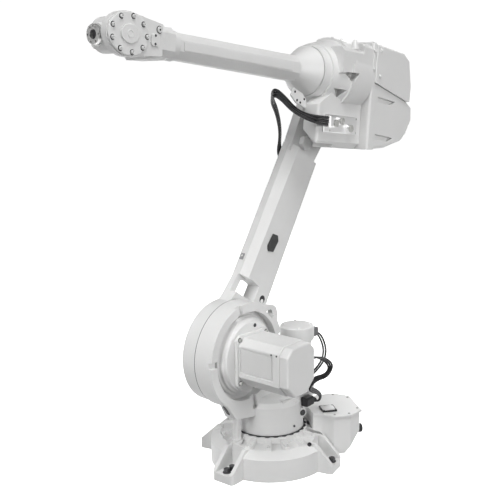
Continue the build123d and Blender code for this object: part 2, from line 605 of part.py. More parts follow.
# Elbow cables: from the connector hood, behind the bracket, then in a loop to the clamp on the lower arm
ELBOW_LEAD_R = 6.0
leads = []
for k in (-1, 0, 1):
    route = [(HOOD_FRONT + SEAT, 118, -25 + 14 * k), (240 - 6 * k, 118, -26 + 14 * k),
             (280 - 11 * k, 66, -12 + 6 * k), (286 - 11 * k, 8, 14 + 4 * k), (340 - 7 * k, -6, 56 + 8 * k),
             (392, -10, 76 + 13 * k),
             (342, -64, 52 + 12 * k), (258, -96, 4 + 11 * k), (176, -136, -76 + 12 * k),
             clamp_side(84, CLAMP_Z + 2 + 14 * k), clamp_side(CLAMP_FRONT + SEAT, CLAMP_Z + 14 * k)]
    leads.append(cable(route, ELBOW_LEAD_R))
save("elbow_cables", Compound(leads), "elbow")


# Upper arm tube with flared root, and the wrist fork at its end
def octagon(radius):
    return [(radius * cos(radians(45 * k + 22.5)) / cos(radians(22.5)),
             radius * sin(radians(45 * k + 22.5)) / cos(radians(22.5))) for k in range(8)]


def arm_tube():
    root = Face(Wire.make_polygon([(TUBE_START - 40, y, z) for y, z in octagon(TUBE_R)], close=True))
    tip = Face(Wire.make_polygon([(TUBE_END, y, z) for y, z in octagon(TUBE_TIP_R)], close=True))
    tube = Solid.make_loft([root.outer_wire(), tip.outer_wire()], ruled=True)
    start = BELL_END + TURN_GAP
    flare = taper("x", BELL_END_R - 4, 80, start, 252) + taper("x", 80, TUBE_R - 2, 252, TUBE_START)
    bearing = rod("x", BELL_END_R - 24, BELL_END + BEARING_GAP, start + 10)
    return one(tube + flare + bearing)


def tube_radius(x):
    share = (x - TUBE_START + 40) / (TUBE_END - TUBE_START + 40)
    return TUBE_R + (TUBE_TIP_R - TUBE_R) * share


def side_panel(side):
    x0, x1 = TUBE_START + 40, TUBE_END - 20
    y0, y1 = side * (tube_radius(x0) + SEAT), side * (tube_radius(x1) + SEAT)
    wire = Wire.make_polygon([(x0, y0, -16), (x0, y0, 16), (x1, y1, 15), (x1, y1, -15)], close=True)
    return Solid.extrude(Face(wire), Vector(0, side * 3, 0))


def oval(rx, rz, y):
    points = [(WRIST_REACH + rx * cos(radians(12 * k)), rz * sin(radians(12 * k))) for k in range(30)]
    return slab(points, y)


def wrist_housing():
    x0, x1 = TUBE_END + SEAT, WRIST_REACH
    wide, high, bevel = NECK_W, NECK_HALF_H, 22
    neck = section([(-wide + bevel, -high), (wide - bevel, -high), (wide, -high + bevel), (wide, high - bevel),
                    (wide - bevel, high), (-wide + bevel, high), (-wide, high - bevel), (-wide, -high + bevel)],
                   (x0 + 48, x1 - 60))
    collar = rod("x", TUBE_TIP_R + 7, x0, x0 + 75)
    lip = slab([(x1 - 200, -high + 5), (x1 - 188, -high - 9), (x1 - 112, -high - 14), (x1 - 96, -high + 5)],
               (-wide + bevel, wide - bevel))
    shape = neck + collar + lip
    for rx, rz, inner, outer in ((CHEEK_X, CHEEK_Z, CHEEK_INNER, WRIST_W - COVER_T),
                                 (FAR_X, FAR_Z, FAR_OUTER, FAR_INNER)):
        root = [(x1 - 150, -min(rz, high)), (x1, -rz), (x1, rz), (x1 - 150, min(rz, high))]
        shape = shape + oval(rx, rz, (inner, outer)) + slab(root, (inner, outer))
    shape = shape - block((x1 - FORK_FLOOR, x1 + 150), (FAR_INNER, CHEEK_INNER), (-150, 150))
    return one(shape)


save("arm_tube", arm_tube(), "upper")
save("side_panel_left", side_panel(1), "upper")
save("side_panel_right", side_panel(-1), "upper")
save("wrist_housing", wrist_housing(), "upper")
SIDE = WRIST_W - COVER_T
save("wrist_cover_left", oval(CHEEK_X - 3, CHEEK_Z - 3, (SIDE + SEAT, WRIST_W)), "upper")
save("wrist_cap_left", oval(38, 30, (WRIST_W + SEAT, WRIST_W + 5)), "upper")
FAR_SIDE = FAR_OUTER - COVER_T
save("wrist_cover_right", oval(FAR_X - 3, FAR_Z - 3, (FAR_SIDE, FAR_OUTER - SEAT)), "upper")
save("wrist_cap_right", oval(16, 24, (FAR_SIDE - 5, FAR_SIDE - SEAT)), "upper")
save("neck_plug", rod("y", 10, SIDE + SEAT, SIDE + 4, (WRIST_REACH - 132, 31)), "upper")
neck_plate = block((WRIST_REACH - 130, WRIST_REACH - 96), (SIDE + SEAT, SIDE + 5), (-24, 15))
save("neck_plate", fillet(neck_plate.edges().filter_by(Axis.Y), 8), "upper")

NOSE_END = FLANGE_REACH - FLANGE_T
tilt = rod("y", TILT_R, FAR_INNER + TILT_FAR_GAP, CHEEK_INNER - TILT_NEAR_GAP)
tilt = fillet(tilt.edges().filter_by(GeomType.CIRCLE), 10)
tilt = tilt + rod("y", FAR_HUB_R, FAR_INNER + BEARING_GAP, 0)
tilt = tilt + rod("y", TILT_HUB_R, 0, CHEEK_INNER - BEARING_GAP)
tilt = tilt + taper("x", NOSE_R, FLANGE_R + 3, 0, NOSE_END)
save("tilt_unit", one(tilt), "tilt")
tool = rod("x", FLANGE_R, FLANGE_REACH - FLANGE_T + BEARING_GAP, FLANGE_REACH)
tool = tool - rod("x", TOOL_BORE_R, 0, FLANGE_REACH + 5)
tool = tool - rod("x", DOWEL_R, 0, FLANGE_REACH + 5, (0, TOOL_PCD / 2))
for k in range(TOOL_HOLES):
    angle = radians(360 / TOOL_HOLES * k)
    tool = tool - rod("x", TOOL_HOLE_R, 0, FLANGE_REACH + 5,
                      (TOOL_PCD / 2 * cos(angle), TOOL_PCD / 2 * sin(angle)))
save("tool_flange", one(tool), "tool")
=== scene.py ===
import json
import math

import bpy
import numpy as np
from bpy.props import FloatProperty, FloatVectorProperty, IntProperty, PointerProperty
from bpy.types import Operator, Panel, PropertyGroup
from mathutils import Matrix, Vector


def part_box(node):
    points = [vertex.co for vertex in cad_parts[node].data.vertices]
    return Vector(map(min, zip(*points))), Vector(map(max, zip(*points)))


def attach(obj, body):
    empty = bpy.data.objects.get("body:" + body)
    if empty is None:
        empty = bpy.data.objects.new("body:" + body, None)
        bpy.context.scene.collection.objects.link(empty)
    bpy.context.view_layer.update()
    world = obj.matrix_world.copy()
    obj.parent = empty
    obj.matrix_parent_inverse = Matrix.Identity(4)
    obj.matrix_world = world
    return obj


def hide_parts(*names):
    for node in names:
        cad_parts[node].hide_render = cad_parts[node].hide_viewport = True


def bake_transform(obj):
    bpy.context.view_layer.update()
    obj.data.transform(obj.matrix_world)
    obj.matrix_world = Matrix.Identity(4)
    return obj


bl_info = {
    "name": "Industrial robot arm",
    "version": (1, 0, 0),
    "blender": (4, 5, 0),
    "location": "3D View > Sidebar > Robot arm",
    "description": "Finishes, fasteners, cables and stage of a six-axis robot arm",
    "category": "Object",
}

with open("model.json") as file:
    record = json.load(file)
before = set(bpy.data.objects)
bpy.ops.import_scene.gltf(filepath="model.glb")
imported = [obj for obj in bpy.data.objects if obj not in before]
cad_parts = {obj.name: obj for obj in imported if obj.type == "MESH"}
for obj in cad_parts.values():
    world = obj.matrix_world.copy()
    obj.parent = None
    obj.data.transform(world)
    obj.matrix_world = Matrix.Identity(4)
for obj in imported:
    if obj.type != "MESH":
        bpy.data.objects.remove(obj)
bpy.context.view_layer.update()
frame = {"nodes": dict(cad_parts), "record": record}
NODES = frame["nodes"]
SLOT_OF = {part["node"]: part["material_slot"] for part in frame["record"]["subparts"]}

# Millimetres in a metre
MM = 1000.0

# Directions of a link's own frame
UP = (0, 0, 1)
LEFT = (0, 1, 0)
RIGHT = (0, -1, 0)
FORWARD = (1, 0, 0)
REARWARD = (-1, 0, 0)

# Straight-link sizes of the arm, in millimetres and degrees
AXIS1 = (0.0, 0.0, 0.0)
AXIS2 = (175.0, 0.0, 495.0)
LOWER_ARM = 1095.0
AXIS4_RISE = 175.0
WRIST_REACH = 1241.0
FLANGE_REACH = 74.0
REST_POSE = (37.6, -34.0, 28.0, 0.0, 6.0, 0.0)
AXIS3 = (AXIS2[0], 0.0, AXIS2[2] + LOWER_ARM)
AXIS4 = (AXIS2[0], 0.0, AXIS3[2] + AXIS4_RISE)
WRIST = (AXIS2[0] + WRIST_REACH, 0.0, AXIS4[2])
HINGES = (
    (AXIS1, UP),
    (AXIS2, LEFT),
    (AXIS3, LEFT),
    (AXIS4, FORWARD),
    (WRIST, LEFT),
    (WRIST, FORWARD),
)
LINKS = {
    "base": (0, AXIS1),
    "turret": (1, AXIS1),
    "lower_arm": (2, AXIS2),
    "elbow": (3, AXIS3),
    "upper_arm": (4, AXIS4),
    "tilt": (5, WRIST),
    "tool": (6, WRIST),
}


def link_matrix(body):
    """Turn from a link's own straight frame to the rest pose: its hinges one after another."""
    count, origin = LINKS[body]
    whole = Matrix.Identity(4)
    for (point, axis), angle in zip(HINGES[:count], REST_POSE):
        there = Matrix.Translation(point)
        whole = whole @ there @ Matrix.Rotation(math.radians(angle), 4, axis) @ there.inverted()
    return np.array(whole @ Matrix.Translation(origin))


def placed(points, body):
    """Points of a link's own frame in millimetres, as row-frame metres."""
    matrix = link_matrix(body)
    return (np.asarray(points, float) @ matrix[:3, :3].T + matrix[:3, 3]) / MM


# Materials
def new_material(name):
    """A node material with its coordinate, shader and output in place."""
    material = bpy.data.materials.new(name)
    material.use_nodes = True
    tree = material.node_tree
    shader = tree.nodes["Principled BSDF"]
    coordinates = tree.nodes.new("ShaderNodeTexCoord")
    return material, tree, shader, coordinates.outputs["Object"]


def noise(tree, vector, scale, detail=3.0, roughness=0.55):
    """Soft irregular spots, so many to the metre."""
    node = tree.nodes.new("ShaderNodeTexNoise")
    node.inputs["Scale"].default_value = scale
    node.inputs["Detail"].default_value = detail
    node.inputs["Roughness"].default_value = roughness
    tree.links.new(vector, node.inputs["Vector"])
    return node.outputs["Fac"]


def colour_between(tree, factor, low, high):
    """A colour that drifts from low to high over the middle of the factor's span."""
    ramp = tree.nodes.new("ShaderNodeValToRGB")
    ramp.color_ramp.elements[0].position = 0.3
    ramp.color_ramp.elements[1].position = 0.7
    ramp.color_ramp.elements[0].color = (*low, 1.0)
    ramp.color_ramp.elements[1].color = (*high, 1.0)
    tree.links.new(factor, ramp.inputs["Fac"])
    return ramp.outputs["Color"]


def spread(tree, factor, low, high):
    """A number that goes from low to high with the factor."""
    node = tree.nodes.new("ShaderNodeMapRange")
    node.inputs["To Min"].default_value = low
    node.inputs["To Max"].default_value = high
    tree.links.new(factor, node.inputs["Value"])
    return node.outputs["Result"]


def bump(tree, height, strength, distance, normal=None):
    """The surface's direction, roughened by a height and added to another roughening where one is given."""
    node = tree.nodes.new("ShaderNodeBump")
    node.inputs["Strength"].default_value = strength
    node.inputs["Distance"].default_value = distance
    tree.links.new(height, node.inputs["Height"])
    if normal is not None:
        tree.links.new(normal, node.inputs["Normal"])
    return node.outputs["Normal"]


def scaled(colour, share):
    """A colour with each channel times a share."""
    return tuple(share * channel for channel in colour)


def machine_paint(name, colour, shade, grain, depth):
    """Satin paint: faint mottling, patchy gloss, the peel of the spray and the grain of the casting."""
    material, tree, shader, place = new_material(name)
    mottle = noise(tree, place, 7.0, 5.0)
    low = scaled(colour, shade)
    tree.links.new(colour_between(tree, mottle, low, colour), shader.inputs["Base Color"])
    tree.links.new(spread(tree, noise(tree, place, 26.0), 0.34, 0.5), shader.inputs["Roughness"])
    peel = bump(tree, noise(tree, place, 420.0, 2.0), 0.12, 0.0006)
    cast = bump(tree, noise(tree, place, grain, 4.0, 0.6), depth, 0.002, peel)
    tree.links.new(cast, shader.inputs["Normal"])
    shader.inputs["Specular IOR Level"].default_value = 0.45
    shader.inputs["Coat Weight"].default_value = 0.12
    shader.inputs["Coat Roughness"].default_value = 0.3
    return material


def moulded(name, low, high, roughness, grain):
    """Moulded plastic or rubber: colour drift, fine grain and uneven gloss."""
    material, tree, shader, place = new_material(name)
    tree.links.new(colour_between(tree, noise(tree, place, 40.0), low, high), shader.inputs["Base Color"])
    tree.links.new(spread(tree, noise(tree, place, 160.0), roughness - 0.07, roughness + 0.07),
                   shader.inputs["Roughness"])
    tree.links.new(bump(tree, noise(tree, place, grain, 2.0), 0.25, 0.0005), shader.inputs["Normal"])
    shader.inputs["Specular IOR Level"].default_value = 0.3
    return material


def bare_metal(name, low, high, roughness, stretch, metal):
    """Bare or plated metal: streaks drawn along one direction in colour, gloss and surface."""
    material, tree, shader, place = new_material(name)
    mapping = tree.nodes.new("ShaderNodeMapping")
    mapping.inputs["Scale"].default_value = stretch
    tree.links.new(place, mapping.inputs["Vector"])
    streaks = noise(tree, mapping.outputs["Vector"], 90.0, 4.0)
    tree.links.new(colour_between(tree, streaks, low, high), shader.inputs["Base Color"])
    tree.links.new(spread(tree, streaks, roughness - 0.08, roughness + 0.1), shader.inputs["Roughness"])
    tree.links.new(bump(tree, streaks, 0.12, 0.0004), shader.inputs["Normal"])
    shader.inputs["Metallic"].default_value = metal
    return material


# Share of the paint's colour, share of its darkest patches, grain of the surface and depth of the grain
PAINTS = {
    "cast_paint": (1.0, 0.95, 75.0, 0.22),
    "cover_paint": (1.0, 0.97, 30.0, 0.06),
    "motor_paint": (0.97, 0.96, 60.0, 0.1),
    "panel_paint": (0.9, 0.97, 40.0, 0.05),
}

# Darkest and lightest colour, roughness and grain
MOULDINGS = {
    "black_moulding": ((0.012, 0.012, 0.013), (0.03, 0.03, 0.032), 0.42, 500.0),
    "connector_shell": ((0.1, 0.1, 0.105), (0.16, 0.16, 0.165), 0.4, 500.0),
    "grey_moulding": ((0.26, 0.26, 0.265), (0.36, 0.36, 0.365), 0.42, 400.0),
    # shadow_gap is painted shade: a near-black colour for rings and discs set where gaps, holes and recesses
    # lie in shade
    "shadow_gap": ((0.03, 0.03, 0.032), (0.06, 0.06, 0.064), 0.7, 300.0),
}

# Darkest and lightest colour, roughness, stretch of the streaks and share of metal
METALS = {
    "plated_metal": ((0.42, 0.42, 0.42), (0.58, 0.58, 0.57), 0.56, (1.0, 1.0, 6.0), 0.25),
    "machined_steel": ((0.9, 0.9, 0.89), (0.96, 0.96, 0.95), 0.42, (1.0, 1.0, 8.0), 0.05),
    "zinc_bolt": ((0.36, 0.36, 0.35), (0.54, 0.54, 0.52), 0.5, (3.0, 3.0, 3.0), 0.4),
    "black_bolt": ((0.03, 0.03, 0.032), (0.09, 0.09, 0.095), 0.3, (3.0, 3.0, 3.0), 0.6),
}


def finish(name):
    """The finish of that name, made once."""
    made = bpy.data.materials.get(name)
    if made is not None:
        return made
    looks = bpy.context.scene.robot_finish
    white = tuple(looks.paint)
    sheath = tuple(looks.sheath)
    if name in PAINTS:
        share, shade, grain, depth = PAINTS[name]
        return machine_paint(name, scaled(white, share), shade, grain, depth)
    if name == "white_moulding":
        return moulded(name, scaled(white, 0.96), white, 0.38, 300.0)
    if name == "cable_sheath":
        return moulded(name, sheath, scaled(sheath, 2.0), 0.42, 260.0)
    if name in MOULDINGS:
        return moulded(name, *MOULDINGS[name])
    if name in METALS:
        return bare_metal(name, *METALS[name])
    raise ValueError(f"no finish named {name}")


# Mesh makers
SHARP_ANGLE = 35.0


def put_mesh(name, points, faces, look, body):
    """A mesh object at the origin with its place in its points, riding on a body."""
    mesh = bpy.data.meshes.new(name)
    mesh.from_pydata(np.asarray(points, float).tolist(), [], faces)
    mesh.update()
    mesh.polygons.foreach_set("use_smooth", np.ones(len(mesh.polygons), bool))
    mesh.set_sharp_from_angle(angle=math.radians(SHARP_ANGLE))
    mesh.materials.append(finish(look))
    piece = bpy.data.objects.new(name, mesh)
    bpy.context.scene.collection.objects.link(piece)
    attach(piece, body)
    return piece


def ring_steps(sides):
    """Angles evenly round a ring, the number of each of its points and the number of the next one."""
    around = np.arange(sides)
    return around * 2 * math.pi / sides, around, (around + 1) % sides


def turned_faces(rings, sides, copies):
    """Faces of closed turned forms: quads between rings and a fan at each pole.
    A copy has two pole points, then its rings one after another."""
    step = 2 + rings * sides
    _, around, after = ring_steps(sides)
    low = 2 + np.arange(rings - 1)[:, None] * sides
    high = low + sides
    quads = np.stack([low + around, low + after, high + after, high + around], -1).reshape(-1, 4)
    last = 2 + (rings - 1) * sides
    foot = np.stack([np.zeros(sides, int), 2 + after, 2 + around], -1)
    top = np.stack([np.ones(sides, int), last + around, last + after], -1)
    shift = (np.arange(copies) * step)[:, None, None]
    quads = (quads[None] + shift).reshape(-1, 4).tolist()
    fans = (np.concatenate([foot, top])[None] + shift).reshape(-1, 3).tolist()
    return quads + fans


def across(along):
    """Two unit directions square to each given direction."""
    along = np.asarray(along, float)
    helper = np.where(np.abs(along[:, 2:3]) < 0.9, [[0.0, 0.0, 1.0]], [[1.0, 0.0, 0.0]])
    first = np.cross(helper, along)
    first /= np.linalg.norm(first, axis=1, keepdims=True)
    return first, np.cross(along, first)


def turned_set(name, rows, places, along, look, body, sides=24, spin=0.0):
    """Like turned pieces set on a link, such as bolts.
    Each row is a ring of (radius, height, share of six-sidedness): by that share the radius goes
    from the circle to the hexagon cos 30 / cos(angle in its sixth - 30).
    The rings run from the foot up, and each end closes in a pole."""
    rows = np.asarray(rows, float)
    places = np.atleast_2d(np.asarray(places, float))
    along = np.broadcast_to(np.asarray(along, float), places.shape).copy()
    along /= np.linalg.norm(along, axis=1, keepdims=True)
    first, second = across(along)
    angle, _, _ = ring_steps(sides)
    sixth = np.mod(angle, math.pi / 3) - math.pi / 6
    hexagon = math.cos(math.pi / 6) / np.cos(sixth)
    radius = rows[:, :1] * (1 - rows[:, 2:] + rows[:, 2:] * hexagon)
    turn = angle + math.radians(spin)
    flat = np.stack([radius * np.cos(turn), radius * np.sin(turn),
                     np.repeat(rows[:, 1:2], sides, 1)], -1).reshape(-1, 3)
    poles = np.array([[0, 0, rows[0, 1]], [0, 0, rows[-1, 1]]])
    local = np.concatenate([poles, flat])
    basis = np.stack([first, second, along], 1)
    points = places[:, None] + np.einsum("pk,ckx->cpx", local, basis)
    points = placed(points.reshape(-1, 3), body)
    return put_mesh(name, points, turned_faces(len(rows), sides, len(places)), look, body)


def socket_bolt(size):
    """Rings of a socket-head bolt: chamfered round head with a six-sided recess; size is the thread."""
    head, high = 0.75 * size, 0.9 * size
    return [(0.98 * head, -1.0, 0), (head, 0.15, 0), (head, high * 0.82, 0), (0.9 * head, high, 0),
            (0.62 * head, high, 0), (0.5 * head, high * 0.97, 1), (0.48 * head, high * 0.35, 1)]


def hex_bolt(size):
    """Rings of a six-sided bolt on its washer."""
    head = 0.87 * size
    return [(1.5 * head, -0.5, 0), (1.5 * head, 2.6, 0), (1.42 * head, 3.0, 0), (1.02 * head, 3.0, 1),
            (head, 3.2, 1), (head, 3.0 + 0.55 * size, 1), (0.86 * head, 3.0 + 0.66 * size, 0.3)]


def washer(size):
    """Rings of a flat washer under a bolt of that thread."""
    reach = 1.02 * size
    return [(reach, -0.5, 0), (reach, 2.4, 0), (0.95 * reach, 3.0, 0), (0.5 * reach, 3.0, 0)]


def hex_head(size):
    """Rings of a six-sided bolt head that stands on a washer."""
    head = 0.84 * size
    return [(1.04 * head, 2.6, 1), (head, 3.2, 1), (head, 3.0 + 0.8 * size, 1),
            (0.84 * head, 3.0 + 0.92 * size, 0.3)]


def button_screw(size):
    """Rings of a low domed screw with a six-sided recess."""
    head, high = 0.9 * size, 0.5 * size
    return [(head, -0.6, 0), (head, 0.12 * size, 0), (0.88 * head, 0.62 * high, 0),
            (0.6 * head, 0.94 * high, 0), (0.42 * head, high, 0), (0.38 * head, high, 1),
            (0.34 * head, 0.3 * high, 1)]


def ring_places(radius, count, start, centre=(0.0, 0.0)):
    """Points evenly round a circle, as two columns."""
    angle = np.radians(start + 360.0 / count * np.arange(count))
    return np.stack([centre[0] + radius * np.cos(angle), centre[1] + radius * np.sin(angle)], -1)


def facing(pairs, level, axis):
    """Pairs of coordinates put on a plane square to X, Y or Z at the given level."""
    pairs = np.atleast_2d(np.asarray(pairs, float))
    return np.insert(pairs, "xyz".index(axis), level, axis=1)


# Settings
class RobotFinish(PropertyGroup):
    """Colours of the arm."""

    paint: FloatVectorProperty(name="Paint", description="Colour of the painted castings and covers",
                               subtype="COLOR", size=3, min=0.0, max=1.0, default=(0.78, 0.78, 0.775))
    sheath: FloatVectorProperty(name="Cable sheath", description="Darkest colour of the cable sheaths",
                                subtype="COLOR", size=3, min=0.0, max=1.0, default=(0.012, 0.012, 0.013))


class RobotSizes(PropertyGroup):
    """Sizes of the small pieces."""

    edge: FloatProperty(name="Edge rounding", description="Rounding on the edges of castings and covers",
                        unit="LENGTH", default=0.0025, min=0.0)
    floor_bolt: FloatProperty(name="Floor bolt", description="Thread of the floor bolts in the feet",
                              unit="LENGTH", default=0.016, min=0.004)
    cover_bolt: FloatProperty(name="Cover bolt",
                              description="Thread of the bolts that hold covers and flanges",
                              unit="LENGTH", default=0.008, min=0.002)
    motor_lead: FloatProperty(name="Motor lead", description="Diameter of a motor cable",
                              unit="LENGTH", default=0.008, min=0.002)
    elbow_lead: FloatProperty(name="Elbow lead", description="Diameter of a cable that loops past the elbow",
                              unit="LENGTH", default=0.012, min=0.002)
    curve_steps: IntProperty(name="Cable steps", description="Steps of a cable between two route points",
                             default=10, min=3)


class StageSettings(PropertyGroup):
    """Floor, light and camera."""

    floor: FloatVectorProperty(name="Floor", description="Colour of the floor", subtype="COLOR", size=3,
                               min=0.0, max=1.0, default=(0.9, 0.9, 0.9))
    lens: FloatProperty(name="Lens", description="Focal length of the camera in millimetres",
                        default=60.8, min=1.0)
    sky: FloatProperty(name="Sky", description="Strength of the even light from all round",
                       default=0.12, min=0.0)
    key: FloatProperty(name="Key light", description="Power of the main lamp",
                       unit="POWER", default=140.0, min=0.0)


# Operators
CAST_NODES = ("base_casting", "turret_casting", "lower_arm_casting", "elbow_housing", "arm_tube",
              "wrist_housing", "tilt_unit", "stop_post", "axis2_bell_flange", "rear_box")
MOTOR_NODES = ("axis2_motor_flange", "axis2_motor_body", "axis2_motor_cap", "axis1_motor_flange",
               "axis1_motor_body", "axis1_motor_cap")
LOOK_OF_SLOT = {
    "white_paint": "cover_paint",
    "white_plastic": "white_moulding",
    "black_plastic": "black_moulding",
    "dark_connector": "connector_shell",
    "plated_metal": "plated_metal",
    "machined_steel": "machined_steel",
    "cable_rubber": "cable_sheath",
}


class ROBOT_OT_dress(Operator):
    """Give every solid its finish and soft edges"""

    bl_idname = "robot.dress"
    bl_label = "Dress the solids"

    def execute(self, context):
        edge = context.scene.robot_sizes.edge
        for name, node in NODES.items():
            look = LOOK_OF_SLOT[SLOT_OF[name]]
            if name in CAST_NODES:
                look = "cast_paint"
            elif name in MOTOR_NODES:
                look = "motor_paint"
            elif name == "front_plug":
                look = "grey_moulding"
            elif name == "axis2_motor_panel":
                look = "panel_paint"
            node.data.materials.clear()
            node.data.materials.append(finish(look))
            if name.endswith("_cables"):
                continue
            low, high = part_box(name)
            thin = min(high - low)
            weld = node.modifiers.new("Join", "WELD")
            weld.merge_threshold = 1e-5
            flat = node.modifiers.new("Flat faces", "DECIMATE")
            flat.decimate_type = "DISSOLVE"
            flat.angle_limit = math.radians(0.5)
            soft = node.modifiers.new("Edges", "BEVEL")
            soft.width = min(edge, 0.1 * thin)
            soft.segments = 2
            soft.limit_method = "ANGLE"
            soft.angle_limit = math.radians(28)
            soft.use_clamp_overlap = True
            soft.harden_normals = False
            node.data.polygons.foreach_set("use_smooth", np.ones(len(node.data.polygons), bool))
            even = node.modifiers.new("Shading", "WEIGHTED_NORMAL")
            even.keep_sharp = False
        return {"FINISHED"}


# Cables, in the straight frame of the link that carries their first end
LEAD_GAP = 0.3
MOTOR_BACK = AXIS2[0] - 86.0
GLAND_X = -84.0
CONN_BACK = -246.0
NECK_TOP = 292.0
HOOD_FRONT = 196.0
CLAMP_Z = LOWER_ARM - 232.0
CLAMP_FRONT = 36.0
CLAMP_Y = -139.0


def clamp_side(out, height):
    """Place in front of the lower-arm clamp, seen from the elbow at rest."""
    bend = math.radians(REST_POSE[2])
    down = LOWER_ARM - height
    ahead = out * math.cos(bend) + down * math.sin(bend)
    return (ahead, CLAMP_Y, out * math.sin(bend) - down * math.cos(bend))


def axis2_route(k):
    """Route points of one of the three axis 2 leads: back from the motor, down in a loop, to the gland."""
    return [(MOTOR_BACK - 30 - LEAD_GAP, 222 + 10 * k, 488), (-10, 222 + 10 * k, 486),
            (-92, 221 + 9 * k, 450 + 5 * k), (-136 - 4 * k, 219 + 7 * k, 408 + 4 * k),
            (-104, 216 + 6 * k, 376 - 4 * k), (-30, 210 + 5 * k, 382 - 6 * k), (0, 198 + 4 * k, 350 - 8 * k),
            (-52, 184 + 4 * k, 322 - 9 * k), (-112, 170 + 3 * k, 292 - 8 * k),
            (-140 + 4 * k, 163, 264 - 6 * k), (-132 + 8 * k, 156, 242), (-110, 152, 260 + 9 * k),
            (GLAND_X - LEAD_GAP, 152, 261 + 9 * k)]


def axis1_route(k):
    """Route points of one of the two axis 1 leads: back from the connector and down to the deck."""
    return [(CONN_BACK - LEAD_GAP, 38 + 18 * k, 495), (-276, 39 + 18 * k, 494), (-298, 62 + 14 * k, 428),
            (-266, 84 + 12 * k, 386), (-192, 108 + 11 * k, 368), (-114 - 4 * k, 114 + 11 * k, 348),
            (-74 - 12 * k, 110 + 11 * k, 326), (-74 - 12 * k, 109 + 11 * k, NECK_TOP + LEAD_GAP)]


def elbow_route(k):
    """Route points of one of the three elbow leads: out of the hood, behind the bracket, to the clamp."""
    return [(HOOD_FRONT + LEAD_GAP, 118, -25 + 14 * k), (240 - 6 * k, 118, -26 + 14 * k),
            (280 - 11 * k, 66, -12 + 6 * k), (286 - 11 * k, 8, 14 + 4 * k), (340 - 7 * k, -6, 56 + 8 * k),
            (392, -10, 76 + 13 * k), (342, -64, 52 + 12 * k), (258, -96, 4 + 11 * k),
            (176, -136, -76 + 12 * k), clamp_side(84, CLAMP_Z + 2 + 14 * k),
            clamp_side(CLAMP_FRONT + LEAD_GAP, CLAMP_Z + 14 * k)]


def line_curve(name, points, steps):
    """A smooth open line with the route's points as its control points."""
    data = bpy.data.curves.new(name, "CURVE")
    data.dimensions = "3D"
    data.resolution_u = steps
    spline = data.splines.new("NURBS")
    spline.points.add(len(points) - 1)
    spline.points.foreach_set("co", np.insert(points, 3, 1.0, axis=1).ravel())
    spline.order_u = 3
    spline.use_endpoint_u = True
    return bpy.data.objects.new(name, data)


def lead(name, route, body, diameter, steps):
    """A cable along its route: the line's points are read out, but nothing uses them,
    and the same line with a round section gives the mesh."""
    points = placed(route, body)
    line = line_curve(name, points, steps)
    collection = bpy.context.scene.collection
    collection.objects.link(line)
    bpy.context.view_layer.update()
    thread = bpy.data.meshes.new_from_object(line)
    path = np.zeros(len(thread.vertices) * 3)
    thread.vertices.foreach_get("co", path)
    line.data.bevel_depth = diameter / 2
    line.data.bevel_resolution = 4
    line.data.use_fill_caps = True
    bpy.context.view_layer.update()
    mesh = bpy.data.meshes.new_from_object(line.evaluated_get(bpy.context.evaluated_depsgraph_get()))
    bpy.data.objects.remove(line)
    bpy.data.meshes.remove(thread)
    mesh.name = name
    mesh.materials.clear()
    mesh.materials.append(finish("cable_sheath"))
    piece = bpy.data.objects.new(name, mesh)
    collection.objects.link(piece)
    path = path.reshape(-1, 3)
    return piece


class ROBOT_OT_motor_leads(Operator):
    """Lay the cables of the two drive motors"""

    bl_idname = "robot.motor_leads"
    bl_label = "Motor leads"

    def execute(self, context):
        sizes = context.scene.robot_sizes
        thick, steps = sizes.motor_lead, sizes.curve_steps
        for number, k in enumerate((-1, 0, 1), 1):
            piece = lead(f"axis2_lead_{number}", axis2_route(k), "turret", thick, steps)
            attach(piece, "turret")
            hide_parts("axis2_cables")
        for number, k in enumerate((0, 1), 1):
            piece = lead(f"axis1_lead_{number}", axis1_route(k), "turret", thick, steps)
            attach(piece, "turret")
            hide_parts("axis1_cables")
        return {"FINISHED"}


class ROBOT_OT_elbow_leads(Operator):
    """Lay the cable loop that crosses from the lower arm to the elbow"""

    bl_idname = "robot.elbow_leads"
    bl_label = "Elbow leads"

    def execute(self, context):
        sizes = context.scene.robot_sizes
        thick, steps = sizes.elbow_lead, sizes.curve_steps
        for number, k in enumerate((-1, 0, 1), 1):
            piece = lead(f"elbow_lead_{number}", elbow_route(k), "elbow", thick, steps)
            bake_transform(piece)
            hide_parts("elbow_cables")
        return {"FINISHED"}


# Faces that carry the fasteners, each in its link's own frame
FOOT_POCKET_Z = 34.0
LID_Z = 205.3
LID_COVER_Z = 212.6
BELL_Y = 48.0
MOTOR_FLANGE_Y = 62.0
MOTOR_PANEL_X = 261.0
MOTOR_CAP_Z = 550.0
HUB_COVER_Y = -136.0
ELBOW_COVER_Y = -134.0
CLAMP_FACE_Y = -152.0
WEB_Y = -58.0
BRACKET_Y = 34.0
REAR_COVER_Y = 140.0
SLOT_Y = 115.0
PLATE_Y = 104.3
NECK_PLATE_Y = 85.0


